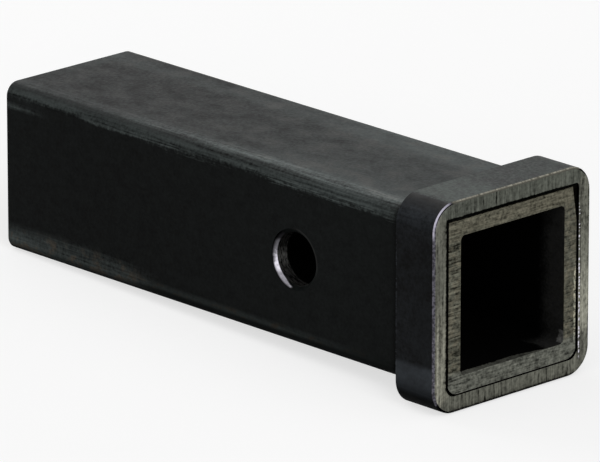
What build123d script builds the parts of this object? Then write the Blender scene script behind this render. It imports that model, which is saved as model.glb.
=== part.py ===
from build123d import *
import os

# Weld-on receiver tube: a square steel tube that takes a square hitch shank, a square collar that
# strengthens its mouth, and the fillet weld that holds the collar. All sizes are in millimetres.
# The origin is where the axis of the cross pin meets the axis of the tube. +X runs out of the mouth,
# the pin lies along Y, and +Z is up.

# Square tube
tube_outer = 63.5
tube_wall = 6.3
tube_length = 228.6
tube_outer_radius = 5.0
tube_inner_radius = 2.0
tube_rear_break = 0.3

# Upper corners of the tube's mouth, built up with weld metal and dressed nearly square
built_corner_depth = 6.0
built_corner_radius = 1.0

# Hole for the cross pin, through both side walls
pin_hole_diameter = 19.8
pin_hole_setback = 77.0
pin_hole_break = 1.45

# Collar round the mouth
collar_wall = 6.1
collar_depth = 19.0
collar_outer_radius = 10.0
collar_lower_inner_radius = 4.2
collar_upper_inner_radius = 1.2
collar_front_break = 0.8
collar_rear_break = 0.3
joint_gap = 0.6

# Fillet weld behind the collar
weld_length_on_tube = 5.5
weld_crown = 0.7
weld_toe_step = 2.0

# Places and sizes that follow from these
mouth_x = pin_hole_setback
tube_rear_x = mouth_x - tube_length
collar_rear_x = mouth_x - collar_depth
tube_inner = tube_outer - 2 * tube_wall
collar_inner = tube_outer + 2 * joint_gap
collar_outer = collar_inner + 2 * collar_wall
weld_height_on_collar = joint_gap + collar_wall - weld_toe_step


def rounded_bar(side, radius, rear_x, front_x):
    """A solid square bar along X with rounded long edges."""
    section = Plane.YZ.offset(rear_x) * RectangleRounded(side, side, radius)
    return extrude(section, amount=front_x - rear_x)


def upper_half(solid):
    """The part of a solid that lies above the tube's axis."""
    return split(solid, bisect_by=Plane.XY, keep=Keep.TOP)


def end_face(solid, x):
    """The flat end face of a solid at one place along X."""
    return solid.faces().filter_by(Plane.YZ).sort_by(lambda face: abs(face.center().X - x))[0]


def receiver_tube():
    """Square tube, open at both ends, with the pin hole through both side walls."""
    outside = rounded_bar(tube_outer, tube_outer_radius, tube_rear_x, mouth_x)
    built_corners = rounded_bar(tube_outer, built_corner_radius, mouth_x - built_corner_depth, mouth_x)
    socket = rounded_bar(tube_inner, tube_inner_radius, tube_rear_x, mouth_x)
    tube = outside + upper_half(built_corners) - socket
    tube = chamfer(end_face(tube, tube_rear_x).edges(), tube_rear_break)
    tube -= Rot(X=90) * Cylinder(pin_hole_diameter / 2, 2 * tube_outer)
    rims = tube.edges().filter_by(GeomType.CIRCLE).filter_by(Plane.XZ).group_by(Axis.Y)
    return chamfer(rims[0] + rims[-1], pin_hole_break)


def reinforcing_collar():
    """Square ring round the mouth, level with the tube's end face."""
    outside = rounded_bar(collar_outer, collar_outer_radius, collar_rear_x, mouth_x)
    seat = rounded_bar(collar_inner, collar_lower_inner_radius, collar_rear_x, mouth_x)
    upper_seat = rounded_bar(collar_inner, collar_upper_inner_radius, collar_rear_x, mouth_x)
    collar = outside - seat - upper_half(upper_seat)
    collar = chamfer(end_face(collar, mouth_x).outer_wire().edges(), collar_front_break)
    return chamfer(end_face(collar, collar_rear_x).outer_wire().edges(), collar_rear_break)


def collar_weld():
    """Fillet bead in the corner between the collar's rear face and the tube, all the way round."""
    half = tube_outer / 2
    root = Vector(collar_rear_x, 0, half)
    collar_toe = root + Vector(0, 0, weld_height_on_collar)
    tube_toe = root - Vector(weld_length_on_tube, 0, 0)
    outwards = Vector(-weld_height_on_collar, 0, weld_length_on_tube).normalized()
    crown = (collar_toe + tube_toe) * 0.5 + outwards * weld_crown
    surface = ThreePointArc(collar_toe, crown, tube_toe)
    bead = make_face([Line(tube_toe, root), Line(root, collar_toe), surface])
    outline = Plane.YZ.offset(collar_rear_x) * RectangleRounded(tube_outer, tube_outer, tube_outer_radius)
    return sweep(bead, path=outline.face().outer_wire())


parts = {
    "receiver_tube": receiver_tube(),
    "reinforcing_collar": reinforcing_collar(),
    "collar_weld": collar_weld(),
}

os.makedirs("parts", exist_ok=True)
for name, solid in parts.items():
    export_step(solid, f"parts/{name}.step")
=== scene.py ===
import bpy
import math
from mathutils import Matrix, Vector


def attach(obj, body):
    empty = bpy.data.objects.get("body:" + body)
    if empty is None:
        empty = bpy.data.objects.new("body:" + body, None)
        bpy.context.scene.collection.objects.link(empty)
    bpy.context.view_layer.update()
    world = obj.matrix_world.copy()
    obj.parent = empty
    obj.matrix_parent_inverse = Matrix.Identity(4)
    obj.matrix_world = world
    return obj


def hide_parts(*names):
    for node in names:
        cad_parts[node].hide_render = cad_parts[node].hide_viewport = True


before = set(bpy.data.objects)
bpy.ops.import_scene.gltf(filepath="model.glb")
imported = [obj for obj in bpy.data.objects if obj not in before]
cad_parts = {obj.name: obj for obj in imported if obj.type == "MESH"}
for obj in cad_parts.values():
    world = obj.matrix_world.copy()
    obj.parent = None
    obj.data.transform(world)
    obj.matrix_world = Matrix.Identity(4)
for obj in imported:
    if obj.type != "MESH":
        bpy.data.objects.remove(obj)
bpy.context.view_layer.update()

# Camera. It stands three metres off, in front of the mouth and a little above it, turned towards the
# side that shows the pin hole. The lens is long, so the tube's long edges stay nearly parallel.
camera_turn = math.radians(46.406)
camera_rise = math.radians(17.862)
camera_aim = Vector((-0.023, 0.0, 0.0))
camera_distance = 2.9778
camera_slide = -0.004987
camera_lift = -0.00165
camera_lens = 501.9
camera_sensor = 36.0
camera_back = Vector((
    math.sin(camera_turn) * math.cos(camera_rise),
    -math.cos(camera_turn) * math.cos(camera_rise),
    math.sin(camera_rise),
))
camera_right = Vector((math.cos(camera_turn), math.sin(camera_turn), 0.0))
camera_up = camera_back.cross(camera_right)
camera_place = (
    camera_aim + camera_back * camera_distance + camera_right * camera_slide + camera_up * camera_lift
)
bpy.ops.object.camera_add(location=camera_place, rotation=camera_back.to_track_quat("Z", "Y").to_euler())
camera = bpy.context.object
camera.name = "camera"
camera.data.lens = camera_lens
camera.data.sensor_width = camera_sensor
bpy.context.scene.camera = camera
bpy.context.scene.view_settings.view_transform = "Standard"

# Studio. A pale floor and a white surround, a wide soft lamp high at the tube's rear end that draws the
# light along its upper edge, and a weaker lamp in front of the mouth. The floor slopes by under two
# degrees, because the part rests on the lower edge of its collar and on the rear end of the tube.
surround_light = 0.45
surround_white = (1.0, 1.0, 1.0, 1.0)
floor_size = 8.0
floor_colour = (0.45, 0.45, 0.45, 1.0)
floor_lift = 0.66
rest_front = Vector((0.0583, 0.0, -0.03845))
rest_rear = Vector((-0.1513, 0.0, -0.03175))


def fill(tree, socket, value):
    """Links a socket of a shader node to an output, or gives it a number or a colour."""
    if isinstance(value, bpy.types.NodeSocket):
        tree.links.new(value, socket)
    else:
        socket.default_value = value


def add(tree, kind, *values, out=0, **fields):
    """Adds a shader node, fills its sockets in order, passing over None, and gives one of its outputs."""
    made = tree.nodes.new("ShaderNode" + kind)
    for field, value in fields.items():
        setattr(made, field, value)
    for socket, value in zip(made.inputs, values):
        if value is not None:
            fill(tree, socket, value)
    return made.outputs[out] if made.outputs else made


def calc(tree, operation, first, second=0.0):
    """One step of arithmetic on one or two numbers."""
    return add(tree, "Math", first, second, operation=operation)


def most(tree, first, *others):
    """The largest of some numbers."""
    for other in others:
        first = calc(tree, "MAXIMUM", first, other)
    return first


def product(tree, first, *others):
    """Some numbers multiplied together."""
    for other in others:
        first = calc(tree, "MULTIPLY", first, other)
    return first


def seen_directly(tree):
    """One on rays from the camera and on rays that mirror or pass through, and nought on soft light."""
    path = tree.nodes.new("ShaderNodeLightPath")
    return most(tree, *(path.outputs[f"Is {ray} Ray"] for ray in ("Camera", "Glossy", "Transmission")))


world = bpy.data.worlds.new("white surround")
bpy.context.scene.world = world
world.use_nodes = True
tree = world.node_tree
tree.nodes.clear()
soft = add(tree, "Background", surround_white, surround_light)
white = add(tree, "Background", surround_white, 1.0)
shown = add(tree, "MixShader", seen_directly(tree), soft, white)
add(tree, "OutputWorld", shown)

slope = (rest_front.z - rest_rear.z) / (rest_front.x - rest_rear.x)
bpy.ops.object.select_all(action="DESELECT")
bpy.ops.mesh.primitive_plane_add(size=floor_size, location=(rest_front.x, 0.0, rest_front.z))
floor = bpy.context.object
floor.name = "floor"
floor.rotation_euler = (0.0, -math.atan(slope), 0.0)
bpy.ops.object.transform_apply(location=True, rotation=True, scale=True)
floor_paint = bpy.data.materials.new("pale floor")
floor_paint.use_nodes = True
tree = floor_paint.node_tree
tree.nodes.clear()
matt = add(tree, "BsdfDiffuse", floor_colour, 1.0)
glow = add(tree, "Emission", surround_white, product(tree, seen_directly(tree), floor_lift))
both = add(tree, "AddShader", matt, glow)
add(tree, "OutputMaterial", both)
floor.data.materials.append(floor_paint)


def softbox(name, place, wide, tall, radiance):
    """A soft rectangular lamp that faces the part and doesn't show itself."""
    place = Vector(place)
    bpy.ops.object.light_add(type="AREA", location=place, rotation=place.to_track_quat("Z", "Y").to_euler())
    lamp = bpy.context.object
    lamp.name = name
    lamp.data.shape = "RECTANGLE"
    lamp.data.size = wide
    lamp.data.size_y = tall
    lamp.data.energy = radiance * math.pi * wide * tall
    lamp.visible_camera = False


softbox("rear_lamp", place=(-1.2, 0.08, 1.05), wide=1.7, tall=0.7, radiance=2.7)
softbox("front_lamp", place=(1.3, -0.5, 1.1), wide=1.0, tall=1.0, radiance=1.6)

# Receiver tube. A square steel tube, cold formed and seam welded, still in its dark mill scale, which is
# dusty on top and rubbed thin along the rounded edges, with painted light that makes the top lighter and
# draws a highlight along the upper edge. Both ends are sawn bare, and the pin hole is drilled through the
# side walls, with its rim broken bare and given a painted highlight on one side.
tube_front = 77.0
tube_rear = -151.6
tube_half = 31.75
socket_half = 25.45
bore_radius = 9.9
rim_radius = 11.35
rim_depth = 30.3
# The side of the pin hole's rim that carries the painted highlight.
bright_side = (-0.94, -0.342)
skin_from = 0.06
skin_full = 0.02
relief_strength = 0.40
relief_depth = 0.0001
scale_gloss = 1.12
scale_roughness = 0.22
least_roughness = 0.12
darkest_scale = 0.0006
darkest_sawn = 0.15
edge_tint = (0.25, 0.25, 0.25, 1.0)
scale_tint = (0.90, 1.05, 1.02, 1.0)
tan_tint = (1.12, 1.0, 0.82, 1.0)
dust_tint = (0.96, 1.03, 0.97, 1.0)
sawn_side = (0.080, 0.080, 0.063, 1.0)
sawn_top = (0.104, 0.099, 0.074, 1.0)
sawn_brown = (0.087, 0.082, 0.062, 1.0)
sawn_low_lit = (0.110, 0.114, 0.099, 1.0)
bright_steel = (0.80, 0.78, 0.86, 1.0)
drilled_steel = (0.24, 0.24, 0.23, 1.0)
worn_steel = (0.072, 0.073, 0.062, 1.0)


def blend(tree, share, first, second):
    """The first colour, going over to the second as the share goes from nought to one."""
    return add(tree, "Mix", share, None, None, None, None, None, first, second, out=2, data_type="RGBA")


def tinted(tree, colour, level):
    """A colour made lighter or darker by a number."""
    if isinstance(colour, tuple):
        colour = colour[:3]
    return add(tree, "VectorMath", colour, None, None, level, operation="SCALE")


def rise(tree, value, low, high):
    """Nought at low, one at high, and smooth between. Low may be the larger of the two."""
    return add(tree, "MapRange", value, low, high, 0.0, 1.0, interpolation_type="SMOOTHSTEP")


def span(tree, value, low, high, soft):
    """One between low and high, and nought outside, with soft borders."""
    above = rise(tree, value, low - soft, low + soft)
    below = rise(tree, value, high + soft, high - soft)
    return product(tree, above, below)


def rest(tree, share):
    """What a share leaves of one."""
    return calc(tree, "SUBTRACT", 1.0, share)


def total(tree, *terms):
    """Adds up terms, each of them a number or a tuple of factors."""
    result = 0.0
    for term in terms:
        result = calc(tree, "ADD", result, product(tree, *term) if isinstance(term, tuple) else term)
    return result


def places(tree):
    """The place on the part in millimetres, as one vector and as its three numbers."""
    coordinates = tree.nodes.new("ShaderNodeTexCoord")
    vector = add(tree, "VectorMath", coordinates.outputs["Object"], None, None, 1000.0, operation="SCALE")
    split = tree.nodes.new("ShaderNodeSeparateXYZ")
    tree.links.new(vector, split.inputs[0])
    return vector, split.outputs[0], split.outputs[1], split.outputs[2]


def round_the_section(tree, y, z):
    """Where a point lies in the square section, in millimetres: its distance to the side, its distance
    out, and how far it has turned over the upper and over the lower edge. The last two go from plus to
    minus the corner's radius as the rounded edge goes from the flat top or underside to the side."""
    side = calc(tree, "ABSOLUTE", y)
    reach = most(tree, side, calc(tree, "ABSOLUTE", z))
    turn = calc(tree, "SUBTRACT", z, side)
    under = total(tree, (z, -1.0), (side, -1.0))
    return side, reach, turn, under


def grain(tree, place, per_mm, detail, roughness):
    """Noise with its own number of grains to the millimetre along each axis."""
    stretched = add(tree, "VectorMath", place, per_mm, operation="MULTIPLY")
    return add(tree, "TexNoise", stretched, None, 1.0, detail, roughness, noise_dimensions="3D")


def steel_grain(tree, place):
    """The grain of all the steel: broad clouds, fine specks, and streaks along the tube."""
    cloud = grain(tree, place, (0.16, 0.22, 0.22), 6.0, 0.62)
    speck = grain(tree, place, (0.9, 0.9, 0.9), 3.0, 0.6)
    streak = grain(tree, place, (0.03, 0.9, 0.9), 4.0, 0.6)
    return cloud, speck, streak


def new_material(name):
    """A material with a plain shader, its node tree and that shader."""
    material = bpy.data.materials.new(name)
    material.use_nodes = True
    tree = material.node_tree
    tree.nodes.clear()
    shader = tree.nodes.new("ShaderNodeBsdfPrincipled")
    output = tree.nodes.new("ShaderNodeOutputMaterial")
    tree.links.new(shader.outputs[0], output.inputs["Surface"])
    return material, tree, shader


def set_surface(tree, shader, colour, bare, rough, gloss):
    """Gives a material its colour, its share of bare metal, its roughness, and the gloss of the rest."""
    for socket, value in (("Base Color", colour), ("Metallic", bare), ("Roughness", rough), ("IOR", gloss)):
        fill(tree, shader.inputs[socket], value)


def set_relief(tree, shader, height, strength):
    """Gives a material a fine relief that follows a number."""
    relief = tree.nodes.new("ShaderNodeBump")
    for socket, value in (("Strength", strength), ("Distance", relief_depth), ("Height", height)):
        fill(tree, relief.inputs[socket], value)
    tree.links.new(relief.outputs[0], shader.inputs["Normal"])


material, tree, shader = new_material("mill_scale_and_sawn_steel")
place, x, y, z = places(tree)
side, reach, turn, under = round_the_section(tree, y, z)
from_pin = calc(tree, "SQRT", total(tree, (x, x), (z, z)))
cloud, speck, streak = steel_grain(tree, place)
scratch = grain(tree, place, (0.07, 1.7, 1.7), 2.0, 0.5)
wave = grain(tree, place, (0.016, 0.03, 0.03), 1.0, 0.5)
mottle = grain(tree, place, (0.09, 0.13, 0.13), 4.0, 0.55)
rubbing = grain(tree, place, (0.9, 0.9, 0.12), 3.0, 0.6)

# Mill scale outside: dark on the sides and underneath, lighter on top and towards the front, which is
# painted light, with dust mottling the top. Along the upper rounded edge a painted highlight and sheen mix
# with rubbed scale, and elsewhere lighter marks show where it is rubbed or scratched. Each mark is a share
# from nought to one, and streaks make the border of many of them ragged.
ragged = total(tree, turn, (3.4, streak), (2.4, speck), (5.0, wave), -5.4)
grainy = total(tree, cloud, speck, -1.0)
dusty = total(tree, (0.5, cloud), (0.8, speck), (1.0, mottle), -1.15)
brushed = total(tree, (5.0, streak), (2.6, speck), -2.8)
# The lighter top and the lightening towards the front are painted light; dust mottles the top.
top = rise(tree, ragged, 1.0, 8.0)
lit_towards_front = rise(tree, x, -110.0, 40.0)
# Painted highlight and sheen along the upper rounded edge, mixed with rubbed scale.
shoulder_sheen_and_wear = product(tree, rise(tree, ragged, -5.4, -3.6), rise(tree, ragged, 2.6, -3.0))
crest_highlight_and_wear = product(
    tree,
    rise(tree, ragged, -2.6, 4.2),
    rise(tree, ragged, 11.5, 5.0),
    rise(tree, y, 30.0, 0.0),
)
streaky = total(tree, turn, (3.0, streak), -1.5)
crest_highlight_line = product(tree, span(tree, streaky, 2.6, 6.8, 1.6), rise(tree, x, -96.0, -80.0))
near_mouth = product(
    tree,
    rise(tree, x, -34.0, -18.0),
    rise(tree, turn, 26.0, 10.0),
    rise(tree, turn, 4.0, 7.0),
)
far_strip = product(tree, span(tree, y, 16.0, 24.0, 3.0), rise(tree, turn, 1.0, 5.0))
rear_strip = product(
    tree,
    rise(tree, x, -142.0, -150.0),
    rise(tree, turn, 1.0, 5.0),
    rise(tree, y, -26.0, 14.0),
)
rear_corner = product(
    tree,
    rise(tree, turn, -9.0, -4.0),
    rise(tree, turn, 2.0, -2.0),
    rise(tree, x, -128.0, -140.0),
)
scratched = product(tree, span(tree, ragged, -5.8, -2.4, 1.0), rise(tree, scratch, 0.58, 0.66))
low_band = product(tree, span(tree, z, -27.9, -25.6, 1.0), rise(tree, x, 60.0, 0.0))
wavy = total(tree, z, (4.0, wave), -2.0)
low_patch = product(tree, span(tree, wavy, -30.0, -22.0, 2.4), rise(tree, x, -68.0, -92.0))
low_marks = most(tree, low_patch, low_band)
rear_line = product(tree, span(tree, turn, -8.9, -6.9, 0.8), rise(tree, x, -126.0, -145.0))
level = total(
    tree,
    0.0058,
    (0.0030, lit_towards_front),
    (0.014, grainy),
    (top, total(tree, 0.0042, (0.0140, lit_towards_front))),
    (top, dusty, 0.045),
    (0.040, shoulder_sheen_and_wear, brushed),
    (crest_highlight_and_wear, brushed, total(tree, 0.015, (0.031, lit_towards_front))),
    (0.024, crest_highlight_line, brushed),
    (0.016, near_mouth, total(tree, 0.4, cloud)),
    (0.022, far_strip, total(tree, 0.2, (1.6, cloud))),
    (0.022, rear_strip),
    (0.006, rear_corner),
    (0.060, scratched, rise(tree, x, -85.0, -55.0)),
    (0.014, low_band),
    (0.008, low_band, brushed),
    (0.026, low_patch, total(tree, brushed, (2.0, rubbing), (3.0, cloud), -2.4)),
    (0.034, rear_line, brushed),
    (0.020, low_patch, rise(tree, x, -110.0, -135.0)),
)
level = most(tree, level, darkest_scale)

# The lower edge is painted darker as shade, but its rim is paler. Next to the weld a painted shadow darkens
# the scale too, and the marks low on the side are stained tan.
lower_edge_shade = rise(tree, under, -8.0, -2.0)
level = product(tree, level, rest(tree, product(tree, 0.75, lower_edge_shade, rest(tree, low_marks))))
low_rim = span(tree, under, -4.6, -1.3, 0.8)
level = total(tree, level, (0.0065, low_rim), (0.012, low_rim, low_patch))
weld_shadow = rise(tree, total(tree, x, (6.0, speck), -3.0), 49.0, 51.5)
level = product(tree, level, rest(tree, product(tree, 0.80, weld_shadow)))
tint = blend(tree, product(tree, low_marks, rise(tree, cloud, 0.50, 0.58)), scale_tint, tan_tint)
tint = blend(tree, product(tree, top, rise(tree, mottle, 0.50, 0.62)), tint, dust_tint)
colour = tinted(tree, tint, level)

# Inside of the tube: dark steel, painted lighter next to the mouth along the side wall and the floor beside
# it, which is painted light falling in at the mouth. The first 3 mm of the floor are worn bare, and the
# drill cut the pin hole clean.
inside = rise(tree, reach, socket_half + 0.75, socket_half + 0.35)
uneven = total(tree, (1.2, cloud), (1.2, speck), -1.2)
on_floor = rise(tree, z, 0.55 - socket_half, 0.25 - socket_half)
by_wall = product(tree, on_floor, rise(tree, total(tree, y, (3.0, uneven)), 16.5, 18.5))
by_wall = most(tree, by_wall, rise(tree, y, 23.6, 24.4))
# Painted light near the mouth.
light_in_mouth = product(tree, by_wall, rise(tree, total(tree, x, (4.0, uneven)), 64.0, 71.0))
lip_border = total(tree, x, (2.9, rise(tree, y, 21.0, 3.0)), (1.4, speck), (1.6, mottle), -1.5)
lip = product(tree, on_floor, rise(tree, lip_border, tube_front - 0.1, tube_front + 0.2))
corner = product(
    tree,
    rise(tree, y, 24.2, 24.8),
    rise(tree, total(tree, x, (5.0, cloud), -2.5), 73.8, 74.8),
    rise(tree, total(tree, z, (3.0, cloud), -1.5), -20.6, -21.3),
)
inner_level = total(
    tree,
    0.0010,
    (0.0240, light_in_mouth, total(tree, 1.0, uneven)),
    (0.170, corner, total(tree, 0.8, (1.5, uneven))),
)
inner = tinted(tree, (1.0, 1.0, 0.96), inner_level)
worn_level = total(tree, 1.0, (2.0, uneven), (0.8, rise(tree, y, 2.0, -24.0)))
inner = blend(tree, lip, inner, tinted(tree, worn_steel, worn_level))
colour = blend(tree, inside, colour, inner)
bored = product(
    tree,
    calc(tree, "LESS_THAN", from_pin, bore_radius + 0.05),
    rise(tree, side, socket_half + 0.05, socket_half + 0.45),
    calc(tree, "LESS_THAN", side, rim_depth - 0.01),
)
cutting = grain(tree, place, (0.5, 1.6, 0.5), 5.0, 0.7)
colour = blend(tree, bored, colour, tinted(tree, drilled_steel, rise(tree, cutting, 0.36, 0.62)))

# Sawn ends: saw lines lie across the tube, and the metal is warmer along the top. Along the bottom the
# colour is lighter, which is painted light.
front_cut = rise(tree, x, tube_front - skin_from, tube_front - skin_full)
rear_cut = rise(tree, x, tube_rear + skin_from, tube_rear + skin_full)
cut = most(tree, front_cut, rear_cut)
sawing = grain(tree, place, (0.0, 0.12, 1.5), 5.0, 0.65)
blotch = grain(tree, place, (0.0, 0.35, 0.55), 4.0, 0.6)
left_leg = rise(tree, y, -24.0, -26.0)
saw_level = total(
    tree,
    -2.92,
    (3.2, sawing),
    (2.3, blotch),
    (2.6, speck),
    (2.6, left_leg, calc(tree, "SUBTRACT", sawing, 0.5)),
)
saw_level = most(tree, saw_level, darkest_sawn)
warm = product(tree, rise(tree, z, 24.5, 27.0), total(tree, 0.7, (0.3, rise(tree, y, -10.0, 20.0))))
saw_tint = blend(tree, rise(tree, blotch, 0.44, 0.60), blend(tree, warm, sawn_side, sawn_top), sawn_brown)
saw_tint = blend(tree, product(tree, 0.8, rise(tree, z, -22.5, -25.5)), saw_tint, sawn_low_lit)
sawn = tinted(tree, saw_tint, saw_level)

# Painted shade from the joint darkens the outer edge of the end face, less so along the bottom, and a
# painted dark wedge widens the gap's shade at the upper right. At the right the edge is rubbed bright
# instead, and its outermost strip is painted black as the gap's shade.
wander = product(tree, calc(tree, "SUBTRACT", speck, 0.5), 0.9)
margin = rise(tree, total(tree, reach, wander), tube_half - 0.60, tube_half - 0.35)
gap_shade = product(tree, margin, rise(tree, y, 30.6, 29.8), rise(tree, z, -31.0, -29.0))
gap_wedge_shade = product(tree, rise(tree, total(tree, y, (z, 0.154)), 34.10, 34.25), rise(tree, z, 12.0, 16.0))
shade = rest(tree, product(tree, 0.97, most(tree, gap_shade, gap_wedge_shade)))
bright_margin = product(
    tree,
    span(tree, z, -25.0, 2.0, 3.0),
    span(tree, y, tube_half - 1.45, tube_half - 0.55, 0.25),
    rise(tree, speck, 0.38, 0.60),
)
right_gap_shade = rise(tree, y, tube_half - 0.50, tube_half - 0.40)
edge_level = product(tree, total(tree, shade, (2.4, bright_margin)), rest(tree, right_gap_shade))
sawn = tinted(tree, sawn, edge_level)
colour = blend(tree, cut, colour, sawn)

# Broken rim of the pin hole, bare steel with a painted highlight: bright on one side only, from about 125
# to
# 260 degrees round it, whitest in the middle and duller at both ends. A thin painted glint stands outside
# the rim on the other side.
rim = product(
    tree,
    calc(tree, "LESS_THAN", from_pin, rim_radius - 0.05),
    rise(tree, side, rim_depth, rim_depth + 0.04),
)
toward_bright_side = calc(tree, "DIVIDE", total(tree, (x, bright_side[0]), (z, bright_side[1])), from_pin)
upper_end = rise(tree, z, 5.5, 8.5)
narrowing = product(tree, 0.6, rise(tree, toward_bright_side, 0.86, 0.50), rise(tree, z, 3.0, -2.0))
bare_rim_and_highlight = product(
    tree,
    rise(tree, total(tree, toward_bright_side, (0.22, upper_end)), 0.44, 0.54),
    rise(tree, total(tree, from_pin, (-1.0, narrowing)), bore_radius - 0.10, bore_radius + 0.15),
)
full_radius = total(tree, bore_radius + 0.35, (0.50, rise(tree, z, -2.0, -4.0)))
outer_fade = rise(tree, from_pin, rim_radius - 0.07, full_radius)
whiter = rise(tree, total(tree, (speck, 8.0), (z, -1.0)), 2.2, 7.0)
pale = total(
    tree,
    0.02,
    (0.13, rise(tree, z, 6.4, 4.4)),
    (0.10, rise(tree, z, 4.4, 1.4)),
    (0.64, whiter),
    (-0.52, rise(tree, z, -5.0, -7.0)),
    (-0.12, rise(tree, z, -7.5, -11.0)),
)
chatter = total(tree, 0.4, (1.2, speck))
pale = tinted(tree, bright_steel, product(tree, pale, chatter, outer_fade))
colour = blend(tree, product(tree, rim, bare_rim_and_highlight), colour, pale)
rim_glint = product(
    tree,
    0.09,
    span(tree, from_pin, rim_radius + 0.15, rim_radius + 0.65, 0.20),
    rise(tree, toward_bright_side, -0.30, -0.60),
    rise(tree, z, -5.0, -1.0),
    rise(tree, side, tube_half - 0.15, tube_half - 0.05),
)
colour = blend(tree, rim_glint, colour, drilled_steel)

bare = most(tree, cut, product(tree, rim, bare_rim_and_highlight), bored)
scaled = rest(tree, bare)
rough = total(
    tree,
    scale_roughness,
    (0.40, cloud),
    (-0.2, top, dusty),
    (0.45, lower_edge_shade, scaled),
    (0.5, inside, scaled),
    (0.5, rim, scaled),
)
set_surface(tree, shader, colour, bare, most(tree, rough, least_roughness), scale_gloss)
shader.inputs["Specular Tint"].default_value = edge_tint
height = total(tree, (0.7, cloud), (0.7, speck), (1.2, sawing, cut))
set_relief(tree, shader, height, relief_strength)
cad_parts["receiver_tube"].material_slots[0].material = material

# Reinforcing collar. A square steel ring, sawn from heavier tube and slid over the mouth until the two
# end faces are level. Its outside keeps a bluish mill scale, painted lighter on top as painted light, its
# face is sawn bare, and its front edge is broken: bright at the upper corner near the pin hole's side,
# which is a painted highlight, and dull elsewhere.
collar_half = 38.45
collar_opening_half = 32.35
collar_rear = 58.0
collar_gloss = 1.16
collar_darkest_scale = 0.0004
collar_darkest_sawn = 0.12
collar_tint = (0.88, 1.0, 1.14, 1.0)
collar_top_tint = (0.89, 1.05, 0.96, 1.0)
collar_face_side = (0.100, 0.101, 0.084, 1.0)
collar_face_low_lit = (0.190, 0.188, 0.154, 1.0)
collar_face_top_shaded = (0.068, 0.072, 0.061, 1.0)
cream_steel = (0.62, 0.60, 0.50, 1.0)
lilac_steel = (0.70, 0.67, 0.80, 1.0)
heat_brown = (0.085, 0.070, 0.058, 1.0)
material, tree, shader = new_material("collar_scale_and_sawn_steel")
place, x, y, z = places(tree)
side, reach, turn, under = round_the_section(tree, y, z)
cloud, speck, streak = steel_grain(tree, place)
ragged = total(tree, turn, (2.6, streak), (2.0, speck), -2.3)
grainy = total(tree, cloud, speck, -1.0)
brushed = total(tree, (3.0, streak), (1.6, speck), -1.3)
# The top is painted lighter, most on its near half, and the rounded edge below it carries a painted sheen:
# this is painted light.
top = rise(tree, ragged, 6.8, 8.8)
near_top_light = product(tree, top, rise(tree, y, 2.0, -16.0))
shoulder_sheen_and_wear = product(tree, rise(tree, ragged, -13.0, -4.0), rise(tree, ragged, 4.0, -2.0))
low_band = span(tree, z, -32.0, -21.0, 1.3)
score = product(tree, span(tree, total(tree, z, (x, 0.03)), -28.9, -28.5, 0.15), rise(tree, x, 59.0, 61.0))
low_side = product(tree, rise(tree, z, 8.0, -8.0), rise(tree, turn, 0.0, -6.0))
# A painted highlight, with burr, along the collar's rear edge.
rear_edge_highlight = product(
    tree,
    rise(tree, x, collar_rear + 0.6, collar_rear + 0.4),
    rise(tree, reach, collar_half - 0.55, collar_half - 0.35),
    rise(tree, z, 30.0, 20.0),
)
level = total(
    tree,
    0.0062,
    (0.026, grainy),
    (top, total(tree, 0.021, (0.11, grainy))),
    (0.024, near_top_light),
    (0.016, shoulder_sheen_and_wear, brushed),
    (-0.014, span(tree, ragged, 5.0, 9.0, 1.2)),
    (0.0420, low_band, total(tree, 0.5, cloud)),
    (0.014, score),
    (0.0035, low_side),
    (0.060, rear_edge_highlight, rise(tree, speck, 0.45, 0.58)),
)
level = most(tree, level, collar_darkest_scale)
# Painted shade: the collar's lower edge is darker.
lower_edge_shade = rise(tree, under, -14.0, -4.0)
level = product(tree, level, rest(tree, product(tree, 0.8, lower_edge_shade)))
colour = tinted(tree, blend(tree, top, collar_tint, collar_top_tint), level)

# Broken front edge: lilac and bright at one corner, a painted highlight, grey down the side, creamy with
# burr along the top, and dark along the bottom and right, with scale and painted shade.
front_cut = rise(tree, x, tube_front - 0.82, tube_front - 0.76)
corner = product(
    tree,
    rise(tree, z, 25.0, 29.0),
    rise(tree, y, -29.0, -31.5),
    rise(tree, x, tube_front - 0.25, tube_front - 0.40),
)
left_side = rise(tree, y, -36.0, -37.0)
on_edge_top = rise(tree, z, 36.6, 37.2)
worn = rise(tree, speck, 0.40, 0.62)
broken = total(tree, 0.006, (left_side, total(tree, 0.055, (0.13, worn))), (0.42, corner))
edge_colour = tinted(tree, lilac_steel, broken)
burr = grain(tree, place, (0.0, 0.45, 0.0), 5.0, 0.8)
burr_line = product(tree, rise(tree, x, tube_front - 0.20, tube_front - 0.60), rise(tree, burr, 0.36, 0.62))
edge_top = tinted(tree, cream_steel, total(tree, 0.14, (0.40, burr_line)))
edge_colour = blend(tree, product(tree, on_edge_top, rise(tree, y, -30.0, -28.0)), edge_colour, edge_top)
colour = blend(tree, front_cut, colour, edge_colour)

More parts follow.
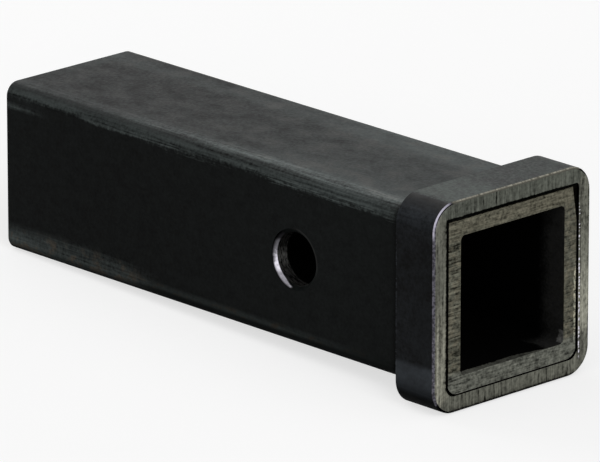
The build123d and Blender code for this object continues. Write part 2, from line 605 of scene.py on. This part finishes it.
# Sawn face: upright saw lines. It is painted lighter low down on the two sides and darker along the top,
# as painted light and shade on the saw lines.
face = rise(tree, x, tube_front - skin_from, tube_front - skin_full)
sawing = grain(tree, place, (0.0, 1.3, 0.05), 4.0, 0.7)
blotch = grain(tree, place, (0.0, 0.5, 0.35), 4.0, 0.6)
crack = rise(tree, grain(tree, place, (0.0, 0.8, 0.13), 3.0, 0.5), 0.59, 0.66)
on_top = rise(tree, turn, -1.0, 1.0)
on_side = rise(tree, calc(tree, "SUBTRACT", side, calc(tree, "ABSOLUTE", z)), -1.5, 1.5)
right_low = product(tree, rise(tree, y, -1.0, 1.0), total(tree, 0.35, (0.65, rise(tree, z, -21.0, -26.0))))
right_mid = product(tree, 0.55, rise(tree, y, -1.0, 1.0), span(tree, z, -22.0, 13.0, 4.0))
lower = product(tree, on_side, rise(tree, z, 10.0, -16.0), rest(tree, right_low))
sawn = blend(tree, lower, collar_face_side, collar_face_low_lit)
sawn = blend(tree, on_top, sawn, collar_face_top_shaded)
outer_dark = product(
    tree,
    rise(tree, z, -35.2, -37.2),
    rise(tree, under, -6.0, -2.0),
    rise(tree, y, -34.0, -28.0),
)
from_axis = calc(tree, "SQRT", total(tree, (y, y), (z, z)))
groove = most(tree, span(tree, y, -37.55, -37.15, 0.12), span(tree, y, -35.6, -35.25, 0.12))
groove = product(tree, groove, rise(tree, z, 16.0, 0.0))
ridge = product(
    tree,
    span(tree, y, -36.8, -36.1, 0.15),
    rise(tree, z, -4.0, -8.0),
    rise(tree, speck, 0.30, 0.55),
)
# A painted highlight on the face near its upper outer corners.
corner_glow = product(
    tree,
    rise(tree, turn, -18.0, -8.0),
    rise(tree, turn, 6.0, 2.0),
    rise(tree, from_axis, 47.0, 50.5),
)
# Painted shade along the outer border of the face at the right and the bottom.
outer_edge_shade = most(tree, rise(tree, y, 37.15, 37.45), rise(tree, z, -37.1, -37.4))
right_leg = rise(tree, y, collar_opening_half + 0.85, collar_opening_half + 1.45)
pitted = grain(tree, place, (0.0, 0.9, 0.45), 3.0, 0.7)
saw_level = total(
    tree,
    -2.25,
    (3.5, sawing),
    (1.5, blotch),
    (1.9, speck),
    (-0.50, crack),
    (-0.35, outer_dark),
    (-0.50, groove),
    (0.60, ridge),
    (0.50, corner_glow),
    (-0.65, outer_edge_shade),
    (3.6, right_leg, calc(tree, "SUBTRACT", pitted, 0.5)),
    (0.20, rise(tree, y, -22.0, 22.0), rest(tree, on_side)),
    right_mid,
)
saw_level = most(tree, saw_level, collar_darkest_sawn)

# Painted shade from the joint darkens the inner edge of the face at the left and the top, and runs in two
# thin lines down the right. Down the right, bright flecks of burr stand beside the joint, and they thin
# out towards the top.
wander = product(tree, calc(tree, "SUBTRACT", speck, 0.5), 0.9)
margin = rise(tree, total(tree, reach, wander), collar_opening_half + 0.40, collar_opening_half + 0.15)
gap_shade = product(tree, margin, rise(tree, y, 30.0, 20.0), rise(tree, z, -31.0, -29.0))
fleck_line = total(tree, y, (0.4, wander), (-0.15, rise(tree, z, 4.0, -4.0)))
fleck_grain = grain(tree, place, (0.0, 0.3, 0.85), 1.0, 0.5)
flecks = product(
    tree,
    span(tree, fleck_line, collar_opening_half + 0.27, collar_opening_half + 0.85, 0.14),
    span(tree, z, -32.0, 28.0, 1.0),
    rise(tree, total(tree, fleck_grain, (-0.10, rise(tree, z, -2.0, 18.0))), 0.46, 0.54),
)
joint_shade = most(
    tree,
    span(tree, y, collar_opening_half - 0.35, collar_opening_half + 0.25, 0.05),
    span(tree, y, collar_opening_half + 0.95, collar_opening_half + 1.25, 0.12),
)
gap_shade = most(tree, gap_shade, product(tree, joint_shade, span(tree, z, -31.0, 31.0, 1.0)))
shade = rest(tree, product(tree, 0.92, gap_shade))
sawn = tinted(tree, sawn, product(tree, saw_level, shade))
sawn = blend(tree, product(tree, 0.95, flecks), sawn, bright_steel)
colour = blend(tree, face, colour, sawn)

# Its rear face is sawn too, and browned by the heat of the weld.
rear_face = rise(tree, x, collar_rear + 0.08, collar_rear + 0.03)
browned = blend(tree, rise(tree, reach, 37.5, 36.0), collar_face_side, heat_brown)
colour = blend(tree, rear_face, colour, tinted(tree, browned, saw_level))
cut = most(tree, front_cut, rear_face)
rough = total(tree, scale_roughness, (0.40, cloud), (0.45, lower_edge_shade, rest(tree, cut)))
set_surface(tree, shader, colour, cut, rough, collar_gloss)
shader.inputs["Specular Tint"].default_value = edge_tint
height = total(tree, (0.7, cloud), (0.7, speck), (1.2, sawing, cut))
set_relief(tree, shader, height, relief_strength)
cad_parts["reinforcing_collar"].material_slots[0].material = material

# Fillet weld. One run of wire-fed weld round the tube, laid in the corner behind the collar. Each ripple
# is a short length of the bead that swells and bows towards the way the weld was laid.
mm = 0.001
ripple_length = 2.6 * mm
ripple_bow = 1.3 * mm
bow_steps = 30
ripple_swell = 1.080
ripple_fall = 0.985
ripple_front = 0.16
ripple_crown = 0.34
bead_sides = 96
bead_radius = 8.95 * mm
bead_centre = (0.0, 4.5 * mm, -3.1 * mm)
bead_bite = 0.25 * mm
dent_size = 6.0 * mm
dent_depth = 0.5 * mm
merge_ripples_within = 0.01 * mm
close_seams_within = 0.03 * mm
smooth_below = math.radians(28.0)
path_radius = 5.0 * mm
path_corner_steps = 10
path_side_cuts = 66


def select_where(piece, chosen):
    """Selects the vertices of a piece whose places are chosen, and stays in edit mode."""
    bpy.ops.object.mode_set(mode="EDIT")
    bpy.ops.mesh.select_mode(type="VERT")
    bpy.ops.mesh.select_all(action="DESELECT")
    bpy.ops.object.mode_set(mode="OBJECT")
    for vertex in piece.data.vertices:
        vertex.select = chosen(vertex.co)
    bpy.ops.object.mode_set(mode="EDIT")


def square_path(name, half, radius, corner_steps, side_cuts):
    """A closed square line with rounded corners, round the origin in the XY plane."""
    bpy.ops.object.select_all(action="DESELECT")
    bpy.ops.mesh.primitive_plane_add(size=2 * half)
    path = bpy.context.object
    path.name = name
    bpy.ops.object.mode_set(mode="EDIT")
    bpy.ops.mesh.select_mode(type="VERT")
    bpy.ops.mesh.select_all(action="SELECT")
    bpy.ops.mesh.bevel(offset=radius, offset_type="OFFSET", segments=corner_steps, affect="VERTICES")
    bpy.ops.mesh.select_all(action="SELECT")
    bpy.ops.mesh.delete(type="ONLY_FACE")
    bpy.ops.object.mode_set(mode="OBJECT")
    for edge in path.data.edges:
        ends = [path.data.vertices[end].co for end in edge.vertices]
        edge.select = (ends[0] - ends[1]).length > radius
    bpy.ops.object.mode_set(mode="EDIT")
    bpy.ops.mesh.select_mode(type="EDGE")
    bpy.ops.mesh.subdivide(number_cuts=side_cuts)
    bpy.ops.object.mode_set(mode="OBJECT")
    bpy.ops.object.convert(target="CURVE")
    return bpy.context.object


def stand_up(piece, x):
    """Turns a piece made in the XY plane so that it lies round the tube's axis at a place along X."""
    bpy.ops.object.select_all(action="DESELECT")
    piece.select_set(True)
    bpy.context.view_layer.objects.active = piece
    piece.rotation_euler = (0.0, -math.pi / 2, 0.0)
    piece.location = (x, 0.0, 0.0)
    bpy.ops.object.transform_apply(location=True, rotation=True, scale=True)


def roughen(piece, name, size, depth):
    """Moves the skin of a piece in and out by soft noise."""
    noise = bpy.data.textures.new(name, type="CLOUDS")
    noise.noise_scale = size
    uneven = piece.modifiers.new(name, "DISPLACE")
    uneven.texture = noise
    uneven.texture_coords = "LOCAL"
    uneven.strength = depth
    bpy.ops.object.modifier_apply(modifier=name)


weld_path = square_path("weld_path", tube_half * mm, path_radius, path_corner_steps, path_side_cuts)
path_length = weld_path.data.splines[0].calc_length()
ripples = round(path_length / ripple_length)
pitch = path_length / ripples

# A disc wider than the bead, with its middle inside the steel, is cut down to the part that stands in the
# corner, and its two ends are opened. Here the weld runs along X, outwards is -Y, and away from the collar
# is Z.
bpy.ops.object.select_all(action="DESELECT")
bpy.ops.mesh.primitive_cylinder_add(
    vertices=bead_sides,
    radius=bead_radius,
    depth=ripple_front * pitch,
    location=(ripple_front * pitch / 2, bead_centre[1], bead_centre[2]),
    rotation=(0.0, math.pi / 2, 0.0),
)
bead = bpy.context.object
bead.name = "collar_weld_bead"
bpy.ops.object.transform_apply(location=True, rotation=True, scale=True)
bpy.ops.object.mode_set(mode="EDIT")
bpy.ops.mesh.select_mode(type="FACE")
for cut_place, cut_away in (
    ((0.0, bead_bite, 0.0), (0.0, 1.0, 0.0)),
    ((0.0, 0.0, -bead_bite), (0.0, 0.0, -1.0)),
):
    bpy.ops.mesh.select_all(action="SELECT")
    bpy.ops.mesh.bisect(plane_co=cut_place, plane_no=cut_away, clear_outer=True, use_fill=True)
bpy.ops.object.mode_set(mode="OBJECT")
for polygon in bead.data.polygons:
    polygon.select = abs(polygon.normal.x) > 0.9
bpy.ops.object.mode_set(mode="EDIT")
bpy.ops.mesh.delete(type="ONLY_FACE")
bpy.ops.mesh.select_mode(type="VERT")


def swell(share):
    """Makes the selected end of the ripple thicker or thinner about the middle of the bead."""
    bpy.ops.transform.resize(value=(1.0, share, share), center_override=bead_centre)


def lay(length):
    """Carries the ripple on from its selected end."""
    bpy.ops.mesh.extrude_region_move(TRANSFORM_OT_translate={"value": (length, 0.0, 0.0)})


# The front of the ripple rises steeply, its crown falls a little, and the rest falls back.
select_where(bead, lambda co: co.x > ripple_front * pitch / 2)
swell(ripple_swell)
lay(ripple_crown * pitch)
swell(ripple_fall)
lay((1.0 - ripple_front - ripple_crown) * pitch)
swell(1.0 / (ripple_swell * ripple_fall))


def across(co):
    """How far round the bead's face a point lies, from nought on the tube to one on the collar."""
    return math.atan2(max(-co.y, 0.0), max(co.z, 0.0)) / (math.pi / 2)


for step in range(1, bow_steps):
    middle = step / bow_steps
    select_where(bead, lambda co: abs(across(co) - middle) < 0.5 / bow_steps)
    bow = ripple_bow * (1.0 - (2.0 * middle - 1.0) ** 2)
    bpy.ops.transform.translate(value=(bow, 0.0, 0.0))
bpy.ops.object.mode_set(mode="OBJECT")

repeat = bead.modifiers.new("ripples", "ARRAY")
repeat.count = ripples
repeat.use_relative_offset = False
repeat.use_constant_offset = True
repeat.constant_offset_displace = (pitch, 0.0, 0.0)
repeat.use_merge_vertices = True
repeat.merge_threshold = merge_ripples_within
bpy.ops.object.modifier_apply(modifier="ripples")
around = bead.modifiers.new("round_the_tube", "CURVE")
around.object = weld_path
around.deform_axis = "POS_X"
bpy.ops.object.modifier_apply(modifier="round_the_tube")
bpy.data.objects.remove(weld_path)
bpy.ops.object.mode_set(mode="EDIT")
bpy.ops.mesh.select_all(action="SELECT")
bpy.ops.mesh.remove_doubles(threshold=close_seams_within)
bpy.ops.mesh.normals_make_consistent(inside=False)
bpy.ops.object.mode_set(mode="OBJECT")
roughen(bead, "uneven_weld", dent_size, dent_depth)
bpy.ops.object.shade_smooth_by_angle(angle=smooth_below)
stand_up(bead, collar_rear * mm)

weld_dark = (0.046, 0.043, 0.042, 1.0)
weld_light = (0.115, 0.112, 0.113, 1.0)
weld_blue = (0.060, 0.068, 0.090, 1.0)
weld_metal_share = 0.9
weld_gloss = 1.3
weld_relief_strength = 0.20
material, tree, shader = new_material("weld_metal")
place, x, y, z = places(tree)
speck = grain(tree, place, (0.9, 0.9, 0.9), 4.0, 0.6)
cloud = grain(tree, place, (0.12, 0.12, 0.12), 3.0, 0.5)
colour = blend(tree, rise(tree, total(tree, (0.6, speck), (1.2, cloud)), 0.65, 1.15), weld_dark, weld_light)
toe = most(tree, rise(tree, x, 53.6, 52.6), rise(tree, x, 57.0, 57.8))
colour = blend(tree, product(tree, toe, rise(tree, cloud, 0.40, 0.55)), colour, weld_blue)
set_surface(tree, shader, colour, weld_metal_share, total(tree, 0.26, (0.25, speck)), weld_gloss)
set_relief(tree, shader, speck, weld_relief_strength)
bead.data.materials.append(material)
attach(bead, "root")
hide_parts("collar_weld")
